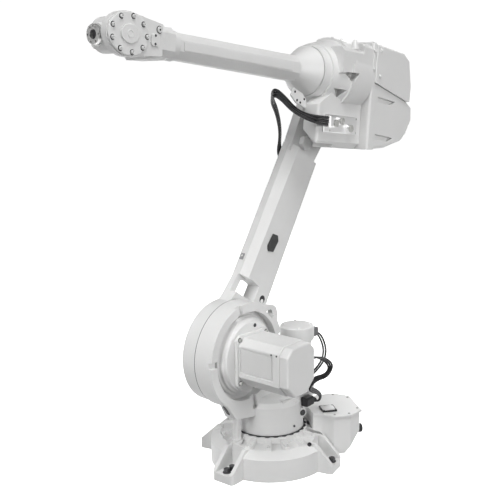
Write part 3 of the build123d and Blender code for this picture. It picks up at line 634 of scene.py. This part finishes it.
class ROBOT_OT_base_bolts(Operator):
    """Set the bolts of the base: floor bolts in the feet and bolts on the ribs"""

    bl_idname = "robot.base_bolts"
    bl_label = "Base bolts"

    def execute(self, context):
        sizes = context.scene.robot_sizes
        thread = MM * sizes.cover_bolt
        floor_thread = MM * sizes.floor_bolt
        outer = [(x, y) for x in (218, -218) for y in (180, -180)]
        inner = [(192, y) for y in (158, -158)]
        feet = facing(outer + inner, FOOT_POCKET_Z, "z")
        turned_set("floor_washers", washer(floor_thread), feet, UP, "black_bolt", "base")
        turned_set("floor_bolts", hex_head(floor_thread), feet, UP, "black_bolt", "base")
        ribs = 16
        angle = np.radians(360.0 / ribs * (np.arange(ribs) + 0.5) - 4.0)
        out = np.stack([np.cos(angle), np.sin(angle), np.zeros(ribs)], -1)
        up = np.array(UP, float)
        turned_set("rib_bolts", socket_bolt(1.1 * thread), 199.0 * out + 128.1 * up,
                   0.272 * out + 0.962 * up, "cover_paint", "base")
        bevel = [(-121.3, 177.5 * side, 113.6) for side in (1, -1)]
        slope = [(-0.308, 0.45 * side, 0.838) for side in (1, -1)]
        turned_set("bevel_bolts", socket_bolt(1.3 * thread), bevel, slope, "black_bolt", "base")
        return {"FINISHED"}


class ROBOT_OT_box_screws(Operator):
    """Set the screws of the rear box lid and its cover, the light plate and the ring of the rear plug"""

    bl_idname = "robot.box_screws"
    bl_label = "Rear box screws"

    def execute(self, context):
        thread = MM * context.scene.robot_sizes.cover_bolt
        rim = [(-250, 112), (-250, -112), (-312, 112), (-312, -112), (-364, 64), (-364, -64)]
        turned_set("lid_screws", button_screw(0.75 * thread), facing(rim, LID_Z, "z"), UP,
                   "zinc_bolt", "base")
        x, y = -240, 49
        corners = [(x + 24 * fore, y + 24 * side) for fore in (-1, 1) for side in (-1, 1)]
        turned_set("lid_cover_screws", button_screw(0.5 * thread), facing(corners, LID_COVER_Z, "z"), UP,
                   "black_bolt", "base")
        plate = [(38.0, -0.5, 0), (38.0, 0.8, 0), (37.0, 1.2, 0)]
        turned_set("lid_plate", plate, (x, y, LID_COVER_Z), UP, "panel_paint", "base", sides=4, spin=45.0)
        cap = [(15.5, -0.5, 0), (15.5, 2.4, 0), (14, 3.4, 0), (9, 3.4, 0), (8, 1.2, 0)]
        turned_set("rear_plug_cap", cap, (-386, 52, 112), REARWARD, "black_moulding", "base")
        return {"FINISHED"}


def toothed_ring(name, inner, outer, low, high, teeth, depth, look, body):
    """A ring about Z with teeth on its outer wall:
    the outer radius steps by the sign of the sine of the tooth angle."""
    steps = teeth * 8
    angle, around, after = ring_steps(steps)
    wave = np.clip(4.0 * np.sin(teeth * angle), -1, 1)
    rim = outer + 0.5 * depth * (wave - 1)
    wall = np.full(steps, inner)
    rows = [(wall, low), (rim, low), (rim, high), (wall, high)]
    ring = [np.stack([r * np.cos(angle), r * np.sin(angle), np.full(steps, z)], -1) for r, z in rows]
    row = np.arange(4)[:, None] * steps
    following = (np.arange(1, 5)[:, None] % 4) * steps
    quads = np.stack([row + around, row + after, following + after, following + around], -1)
    points = placed(np.concatenate(ring), body)
    return put_mesh(name, points, quads.reshape(-1, 4).tolist(), look, body)


class ROBOT_OT_neck_shade_ring(Operator):
    """Lay the dark toothed ring of painted shade in the gap under the turning neck"""

    bl_idname = "robot.neck_seal"
    bl_label = "Neck shade ring"

    def execute(self, context):
        # A near-black toothed ring of painted shade, where the gap at the neck's foot lies in shade
        toothed_ring("neck_seal", inner=142.5, outer=153.0, low=147.6, high=150.2, teeth=26, depth=6.0,
                     look="shadow_gap", body="base")
        return {"FINISHED"}


class ROBOT_OT_drive_bolts(Operator):
    """Set the bolts of the axis 2 drive and the axis 1 motor, the deck's boss and the neck's index pin"""

    bl_idname = "robot.drive_bolts"
    bl_label = "Drive bolts"

    def execute(self, context):
        thread = MM * context.scene.robot_sizes.cover_bolt
        x, _, z = AXIS2
        angle = np.radians([102.4, 170.0, 190.0, 262.0])
        bell = np.stack([x + 126.0 * np.cos(angle), z + 126.0 * np.sin(angle)], -1)
        seat_and_shade = [(13.0, -1.0, 0), (13.0, 0.5, 0), (12.0, 1.2, 0), (8.0, 1.2, 0)]
        turned_set("bell_seats", seat_and_shade, facing(bell, BELL_Y, "y"), LEFT, "motor_paint", "turret")
        turned_set("bell_bolts", button_screw(1.1 * thread), facing(bell, BELL_Y + 1.0, "y"), LEFT,
                   "black_bolt", "turret")
        upper = [(x + 78.5 * side, z + 89.0) for side in (-1, 1)]
        lower = [(x + 78.0 * side, z - 85.0) for side in (-1, 1)]
        proud = MOTOR_FLANGE_Y + 0.3
        turned_set("motor_bolts_top", socket_bolt(1.1 * thread), facing(upper, proud, "y"), LEFT,
                   "zinc_bolt", "turret")
        turned_set("motor_bolts_low", socket_bolt(1.3 * thread), facing(lower, proud, "y"), LEFT,
                   "zinc_bolt", "turret")
        # Near-black discs of painted shade round the motor bolts, where their pockets lie in shade
        shade_disc = [(9.6, -1.0, 0), (9.6, 0.4, 0), (9.0, 0.6, 0)]
        turned_set("motor_bolt_shade", shade_disc, facing(upper + lower, MOTOR_FLANGE_Y, "y"), LEFT,
                   "shadow_gap", "turret")
        panel = [(223.0, z + 64.0), (248.0, z + 64.0)]
        turned_set("panel_screws", button_screw(0.5 * thread), facing(panel, MOTOR_PANEL_X, "x"), FORWARD,
                   "black_bolt", "turret")
        cap = facing(ring_places(58.0, 4, 45.0, (-148.0, 32.0)), MOTOR_CAP_Z, "z")
        turned_set("motor_cap_bolts", socket_bolt(0.75 * thread), cap, UP, "cover_paint", "turret")
        boss = [(13, -1, 0), (13, 3, 0), (12, 4, 0), (8, 4, 0), (7.4, 4.4, 1), (7.4, 9, 1), (6, 10, 0.3)]
        turned_set("deck_boss", boss, (-8.0, 128.6, 272.0), (0.08, 1, 0), "cover_paint", "turret")
        pin = [(5.0, -6.0, 0), (5.0, 3.6, 0), (4.2, 4.6, 0), (2.0, 5.0, 0)]
        turned_set("index_pin", pin, (14.6, 140.2, 177.0), (0.103, 0.995, 0), "black_bolt", "turret")
        return {"FINISHED"}


def cable_nut(radius, inside):
    """Rings of a six-sided cable nut that narrows to a sleeve."""
    return [(radius, -0.2, 1), (radius, 0.8 * radius, 1), (0.82 * radius, 0.9 * radius, 0),
            (0.8 * radius, 1.3 * radius, 0), (inside + 0.8, 1.9 * radius, 0),
            (inside + 0.3, 2.1 * radius, 0)]


class ROBOT_OT_cable_nuts(Operator):
    """Set the nuts where the motor leads enter their connectors"""

    bl_idname = "robot.cable_nuts"
    bl_label = "Cable nuts"

    def execute(self, context):
        half = 0.5 * MM * context.scene.robot_sizes.motor_lead
        upper = [(CONN_BACK, 38.0, 495.0), (CONN_BACK, 56.0, 495.0)]
        turned_set("axis1_nuts", cable_nut(8.6, half), upper, REARWARD, "plated_metal", "turret")
        rear = [(MOTOR_BACK - 30, 222.0 + 10 * k, 488.0) for k in (-1, 0, 1)]
        turned_set("axis2_nuts", cable_nut(4.9, half), rear, REARWARD, "plated_metal", "turret")
        low = [(GLAND_X, 152.0, 261.0 + 9 * k) for k in (-1, 0, 1)]
        turned_set("gland_nuts", cable_nut(4.4, half), low, REARWARD, "black_moulding", "turret")
        deck = [(-74.0 - 12 * k, 109.0 + 11 * k, NECK_TOP) for k in (0, 1)]
        turned_set("deck_nuts", cable_nut(7.4, half), deck, UP, "plated_metal", "turret")
        return {"FINISHED"}


class ROBOT_OT_lower_arm_bolts(Operator):
    """Set the bolts of the covers and the clamp on the lower arm, painted shade in its hole, its pin, and
    the plug's dot
    """

    bl_idname = "robot.lower_arm_bolts"
    bl_label = "Lower arm bolts"

    def execute(self, context):
        thread = MM * context.scene.robot_sizes.cover_bolt
        hub = facing(ring_places(130.0, 10, 18.0), HUB_COVER_Y, "y")
        turned_set("hub_cover_bolts", socket_bolt(thread), hub, RIGHT, "zinc_bolt", "lower_arm")
        top = facing(ring_places(81.0, 8, 22.5, (0.0, LOWER_ARM)), ELBOW_COVER_Y, "y")
        turned_set("elbow_cover_bolts", socket_bolt(0.75 * thread), top, RIGHT, "zinc_bolt", "lower_arm")
        clamp = [(CLAMP_FRONT - 19, CLAMP_Z + 21 * side) for side in (-1, 1)]
        turned_set("clamp_bolts", button_screw(0.75 * thread), facing(clamp, CLAMP_FACE_Y, "y"), RIGHT,
                   "zinc_bolt", "lower_arm")
        # A near-black disc of painted shade, where the web's hole lies in shade
        hole = [(17.0, -2.0, 0), (17.0, 0.4, 0), (16.0, 0.8, 0)]
        turned_set("web_hole_shade", hole, (-70.0, WEB_Y, 258.0), LEFT, "shadow_gap", "lower_arm")
        pin = [(9.5, -1.0, 0), (9.5, 1.6, 0), (8.0, 2.3, 0), (4.0, 2.5, 0)]
        turned_set("web_pin", pin, (-71.0, WEB_Y, 250.0), LEFT, "cover_paint", "lower_arm")
        dot = [(4.2, -1.0, 0), (4.2, 1.0, 0), (3.0, 1.6, 0)]
        turned_set("front_plug_dot", dot, (95.9, -104.0, 378.0), FORWARD, "white_moulding", "lower_arm")
        return {"FINISHED"}


class ROBOT_OT_elbow_bolts(Operator):
    """Set the bolts of the elbow housing, its covers and its cable bracket"""

    bl_idname = "robot.elbow_bolts"
    bl_label = "Elbow bolts"

    def execute(self, context):
        thread = MM * context.scene.robot_sizes.cover_bolt
        pockets = [(72.0, 114.0, 164.0), (114.0, 82.0, 98.0)]
        turned_set("pocket_bolts", hex_bolt(1.2 * thread), pockets, LEFT, "zinc_bolt", "elbow")
        bracket = facing([(314, 82), (250, 58), (298, 50), (276, 42)], BRACKET_Y, "y")
        turned_set("bracket_bolts", button_screw(0.7 * thread), bracket, LEFT, "black_bolt", "elbow")
        cover = facing([(-92, 210), (-89, 288), (-139, 187), (-139, 296)], REAR_COVER_Y, "y")
        turned_set("cover_bolts", hex_bolt(0.8 * thread), cover, LEFT, "cover_paint", "elbow")
        angle = np.radians([22.0, 4.0, -12.0])
        band = np.stack([np.full(3, 51.0), 152.6 * np.sin(angle), AXIS4_RISE + 152.6 * np.cos(angle)], -1)
        out = np.stack([np.zeros(3), np.sin(angle), np.cos(angle)], -1)
        turned_set("band_bolts", socket_bolt(thread), band, out, "cover_paint", "elbow")
        # Near-black discs of painted shade in the slot holes, where the holes lie in shade
        holes = [(-160.0, z + rise) for z in (75, -85) for rise in (7, 19)]
        hole = [(4.4, -2.0, 0), (4.4, 0.3, 0), (4.0, 0.4, 0)]
        turned_set("slot_hole_shade", hole, facing(holes, SLOT_Y, "y"), LEFT, "shadow_gap", "elbow")
        return {"FINISHED"}


class ROBOT_OT_plate_sockets(Operator):
    """Set the ring nuts, the caps and the screws of the elbow's connector plate"""

    bl_idname = "robot.plate_sockets"
    bl_label = "Connector plate sockets"

    def execute(self, context):
        spots = [(142, -31), (100, -20), (32, -46)]
        nuts = facing(spots, 104.6, "y")
        nut = [(19, 0, 1), (19, 7, 1), (17.5, 8, 0.4), (16.2, 8, 0), (16.2, 13, 0), (15.2, 14, 0)]
        turned_set("socket_nuts", nut, nuts, LEFT, "plated_metal", "elbow")
        caps = facing(spots, 126.0, "y")
        cap = [(15.4, -4, 0), (15.4, 1.6, 0), (14, 2.6, 0), (10.5, 2.6, 0), (9.8, 0.8, 0)]
        turned_set("socket_caps", cap, caps, LEFT, "zinc_bolt", "elbow")
        rim = facing([(x, z) for x in (-32, 158) for z in (-61, -3)], PLATE_Y, "y")
        turned_set("plate_screws", button_screw(5.0), rim, LEFT, "zinc_bolt", "elbow")
        return {"FINISHED"}


class ROBOT_OT_wrist_bolts(Operator):
    """Set the bolts of the wrist covers, the screws of the neck plate, and the rings of plug and cap"""

    bl_idname = "robot.wrist_bolts"
    bl_label = "Wrist bolts"

    def execute(self, context):
        thread = MM * context.scene.robot_sizes.cover_bolt
        # Near-black discs of painted shade under the wrist bolts, where their counterbores lie in shade
        seat_and_shade = [(9.2, -1.5, 0), (9.2, 0.5, 0), (8.6, 0.7, 0)]
        covers = (("left", LEFT, 88.0, (73.0, 56.0), 9), ("right", RIGHT, -78.0, (16.0, 32.0), 4))
        for name, outward, level, reach, count in covers:
            ring = ring_places(1.0, count, 180.0) * reach + (WRIST_REACH, 0.0)
            places = facing(ring, level, "y")
            turned_set(f"wrist_bolt_shade_{name}", seat_and_shade, places, outward, "shadow_gap", "upper_arm")
            turned_set(f"wrist_bolts_{name}", socket_bolt(thread), places, outward, "cover_paint",
                       "upper_arm")
        screws = [(WRIST_REACH - 113, 10.0), (WRIST_REACH - 113, -17.0)]
        turned_set("neck_plate_screws", button_screw(0.62 * thread), facing(screws, NECK_PLATE_Y, "y"), LEFT,
                   "black_bolt", "upper_arm")
        x, z = WRIST_REACH - 132, 31.0
        ring = [(9.4, -1, 0), (9.4, 0.8, 0), (8.6, 1.6, 0), (6.6, 1.6, 0), (6.0, 0.4, 0)]
        turned_set("neck_plug_ring", ring, (x, 84.0, z), LEFT, "white_moulding", "upper_arm")
        centre = [(3.4, -1, 0), (3.4, 1.3, 0), (3.0, 1.6, 0)]
        turned_set("neck_plug_centre", centre, (x, 84.0, z), LEFT, "black_moulding", "upper_arm")
        # A near-black ring of painted shade round the neck plug, where the gap round it lies in shade
        seat_and_shade = [(12.6, -1, 0), (12.6, 0.5, 0), (12.0, 0.7, 0)]
        turned_set("neck_plug_shade", seat_and_shade, (x, 80.0, z), LEFT, "shadow_gap", "upper_arm")
        ring = [(13.0, -1, 0), (13.0, 0.6, 0), (12.2, 1.2, 0), (9.4, 1.2, 0), (8.4, 0.3, 0)]
        turned_set("wrist_cap_ring", ring, (WRIST_REACH, 93.0, 0.0), LEFT, "cover_paint", "upper_arm")
        return {"FINISHED"}


def band_ring(name, profile, link, look, body, sides=72):
    """A closed ring about Y: each profile point (radius, height along Y) is carried round the circle."""
    profile = np.asarray(profile, float)
    angle, around, after = ring_steps(sides)
    points = np.stack([profile[:, :1] * np.cos(angle), np.repeat(profile[:, 1:], sides, 1),
                       profile[:, :1] * np.sin(angle)], -1)
    count = len(profile)
    row = np.arange(count)[:, None] * sides
    following = ((np.arange(count) + 1) % count)[:, None] * sides
    quads = np.stack([row + around, following + around, following + after, row + after], -1)
    points = placed(points.reshape(-1, 3), link)
    return put_mesh(name, points, quads.reshape(-1, 4).tolist(), look, body)


class ROBOT_OT_turning_gap_shade(Operator):
    """Lay dark rings of painted shade in the gaps behind the axis 2 ring and beside the tilting unit, and a
    dark disc of painted shade at the tool bore's bottom
    """

    bl_idname = "robot.turning_seals"
    bl_label = "Turning gap shade"

    def execute(self, context):
        # A near-black ring of painted shade in the gap behind the axis 2 ring
        hub = [(196.0, -49.0), (213.6, -49.0), (213.6, -52.8), (196.0, -52.8)]
        band_ring("hub_gap_shade", hub, "lower_arm", "shadow_gap", "turret", 144)
        # Near-black rings of painted shade beside the tilting unit, where the gaps between it and the fork
        # lie in shade
        near = [(40.3, 28.4), (48.0, 28.4), (53.0, 32.0), (49.0, 40.5), (53.0, 49.0), (48.0, 53.0),
                (40.3, 53.0)]
        band_ring("wrist_gap_shade_left", near, "tilt", "shadow_gap", "tilt")
        far = [(26.4, -45.2), (36.0, -45.2), (37.0, -43.8), (36.0, -42.4), (26.4, -42.4)]
        band_ring("wrist_gap_shade_right", far, "tilt", "shadow_gap", "tilt")
        # A near-black disc of painted shade at the bottom of the tool bore, where the bore lies in shade
        floor = [(15.3, -0.6, 0), (15.3, 0.8, 0), (14.0, 1.2, 0)]
        turned_set("tool_bore_shade", floor, (FLANGE_REACH - 12.5, 0.0, 0.0), FORWARD, "shadow_gap", "tool")
        return {"FINISHED"}


# Place, aim, size in metres, share of the key lamp's power and beam in degrees
LAMPS = {
    "key": ((4.4, 3.8, 6.0), (0.0, 0.0, 0.8), 3.0, 1.0, 180.0),
    "fill": ((-4.4, 5.0, 2.2), (0.0, 0.0, 0.8), 3.0, 1.25, 180.0),
    "overhead": ((-0.6, 3.2, 7.4), (0.0, 0.0, 0.6), 3.0, 1.8, 180.0),
    "back_left": ((3.6, -4.2, 1.8), (0.0, 0.0, 0.9), 3.0, 0.7, 180.0),
    "back_right": ((-3.2, -4.4, 1.8), (0.0, 0.0, 0.9), 3.0, 0.7, 180.0),
    "side": ((2.0, 1.7, 1.3), (0.1, 0.1, 0.4), 1.0, 0.036, 80.0),
}
CAMERA_PLACE = (0.75955, 3.26102, 1.54872)
CAMERA_RIGHT = (-0.97821, 0.20732, -0.01126)
CAMERA_UP = (-0.05078, -0.18629, 0.98118)
SENSOR_WIDTH = 36.0
STAGE_SIDES = 64
FLOOR_REACH = 30.0
FLOOR_Z = -0.001
DOME_REACH = 29.0
WHITE = (1.0, 1.0, 1.0, 1.0)


def lamp(name, place, target, size, power, beam):
    """A soft square lamp aimed at a point, with the full angle of its beam in degrees."""
    data = bpy.data.lights.new(name, "AREA")
    data.energy = power
    data.size = size
    data.spread = math.radians(beam)
    light = bpy.data.objects.new(name, data)
    bpy.context.scene.collection.objects.link(light)
    light.location = place
    light.rotation_euler = (Vector(target) - Vector(place)).to_track_quat("-Z", "Y").to_euler()


def stage_surface(name, points, faces, material):
    """A surface round the part, which throws no light on it."""
    mesh = bpy.data.meshes.new(name)
    mesh.from_pydata(points.tolist(), [], faces)
    mesh.materials.append(material)
    surface = bpy.data.objects.new(name, mesh)
    bpy.context.scene.collection.objects.link(surface)
    surface.visible_diffuse = False
    return surface


def glow(shader, strength):
    """Even white light of a surface's own."""
    shader.inputs["Emission Color"].default_value = WHITE
    shader.inputs["Emission Strength"].default_value = strength


def make_floor(settings):
    """A round floor: rings of radius growing evenly, all at the same height just under the base."""
    sides, rings = STAGE_SIDES, 6
    angle, around, after = ring_steps(sides)
    radius = np.linspace(FLOOR_REACH / rings, FLOOR_REACH, rings)[:, None]
    level = np.full((rings, sides), FLOOR_Z)
    rim = np.stack([radius * np.cos(angle), radius * np.sin(angle), level], -1)
    points = np.concatenate([[[0.0, 0.0, FLOOR_Z]], rim.reshape(-1, 3)])
    fan = np.stack([np.zeros(sides, int), 1 + around, 1 + after], -1).tolist()
    low = 1 + np.arange(rings - 1)[:, None] * sides
    quads = np.stack([low + around, low + sides + around, low + sides + after, low + after], -1)
    material, tree, shader, place = new_material("floor_paint")
    colour = tuple(settings.floor)
    drift = colour_between(tree, noise(tree, place, 1.5), scaled(colour, 0.98), colour)
    tree.links.new(drift, shader.inputs["Base Color"])
    tree.links.new(spread(tree, noise(tree, place, 9.0), 0.5, 0.65), shader.inputs["Roughness"])
    glow(shader, 0.94)
    floor = stage_surface("floor", points, fan + quads.reshape(-1, 4).tolist(), material)


def make_backdrop():
    """A white dome far behind everything, which gives no light:
    its radius times the cosine and the sine of the height angle."""
    sides, rings = STAGE_SIDES, 12
    angle, around, after = ring_steps(sides)
    rise = np.linspace(-0.02, 0.5 * math.pi - 0.05, rings)[:, None]
    out = DOME_REACH * np.cos(rise)
    height = DOME_REACH * np.sin(rise) * np.ones(sides)
    dome = np.stack([out * np.cos(angle), out * np.sin(angle), height], -1)
    low = np.arange(rings - 1)[:, None] * sides
    quads = np.stack([low + around, low + sides + around, low + sides + after, low + after], -1)
    material, tree, shader, place = new_material("backdrop_white")
    drift = colour_between(tree, noise(tree, place, 0.2), (0.0, 0.0, 0.0), (0.01, 0.01, 0.01))
    tree.links.new(drift, shader.inputs["Base Color"])
    glow(shader, 1.0)
    backdrop = stage_surface("backdrop", dome.reshape(-1, 3), quads.reshape(-1, 4).tolist(), material)
    backdrop.visible_glossy = False
    backdrop.visible_shadow = False


class ROBOT_OT_stage(Operator):
    """Set the floor, the light and the camera"""

    bl_idname = "robot.stage"
    bl_label = "Stage"

    def execute(self, context):
        settings = context.scene.robot_stage
        make_floor(settings)
        world = bpy.data.worlds.new("studio")
        context.scene.world = world
        world.use_nodes = True
        background = world.node_tree.nodes["Background"]
        background.inputs["Color"].default_value = WHITE
        background.inputs["Strength"].default_value = settings.sky
        for name, (place, target, size, share, beam) in LAMPS.items():
            lamp(name, place, target, size, share * settings.key, beam)
        make_backdrop()
        context.scene.view_settings.view_transform = "Standard"
        data = bpy.data.cameras.new("camera")
        data.lens = settings.lens
        data.sensor_width = SENSOR_WIDTH
        camera = bpy.data.objects.new("camera", data)
        context.scene.collection.objects.link(camera)
        right = Vector(CAMERA_RIGHT)
        up = Vector(CAMERA_UP)
        back = right.cross(up).normalized()
        turn = Matrix((right, up, back)).transposed()
        camera.matrix_world = Matrix.Translation(CAMERA_PLACE) @ turn.to_4x4()
        context.scene.camera = camera
        return {"FINISHED"}


STEPS = (ROBOT_OT_stage, ROBOT_OT_motor_leads, ROBOT_OT_elbow_leads, ROBOT_OT_dress, ROBOT_OT_base_bolts,
         ROBOT_OT_box_screws, ROBOT_OT_neck_shade_ring, ROBOT_OT_drive_bolts, ROBOT_OT_cable_nuts,
         ROBOT_OT_lower_arm_bolts, ROBOT_OT_elbow_bolts, ROBOT_OT_plate_sockets, ROBOT_OT_wrist_bolts,
         ROBOT_OT_turning_gap_shade)


class ROBOT_PT_sidebar(Panel):
    """Sidebar list of the settings and the steps"""

    bl_idname = "ROBOT_PT_sidebar"
    bl_label = "Robot arm"
    bl_space_type = "VIEW_3D"
    bl_region_type = "UI"
    bl_category = "Robot arm"

    def draw(self, context):
        scene = context.scene
        for group in (scene.robot_finish, scene.robot_sizes, scene.robot_stage):
            for name in group.__annotations__:
                self.layout.prop(group, name)
        for step in STEPS:
            self.layout.operator(step.bl_idname)


CLASSES = (RobotFinish, RobotSizes, StageSettings, *STEPS, ROBOT_PT_sidebar)


def register():
    """Make the settings and the steps known."""
    for item in CLASSES:
        bpy.utils.register_class(item)
    bpy.types.Scene.robot_finish = PointerProperty(type=RobotFinish)
    bpy.types.Scene.robot_sizes = PointerProperty(type=RobotSizes)
    bpy.types.Scene.robot_stage = PointerProperty(type=StageSettings)


def unregister():
    """Take the settings and the steps away again."""
    del bpy.types.Scene.robot_stage
    del bpy.types.Scene.robot_sizes
    del bpy.types.Scene.robot_finish
    for item in reversed(CLASSES):
        bpy.utils.unregister_class(item)


def main():
    """Build the stage and the part in order."""
    register()
    bpy.ops.robot.stage()
    bpy.ops.robot.motor_leads()
    bpy.ops.robot.elbow_leads()
    bpy.ops.robot.dress()
    bpy.ops.robot.base_bolts()
    bpy.ops.robot.box_screws()
    bpy.ops.robot.neck_seal()
    bpy.ops.robot.drive_bolts()
    bpy.ops.robot.cable_nuts()
    bpy.ops.robot.lower_arm_bolts()
    bpy.ops.robot.elbow_bolts()
    bpy.ops.robot.plate_sockets()
    bpy.ops.robot.wrist_bolts()
    bpy.ops.robot.turning_seals()


if __name__ == "__main__":
    main()
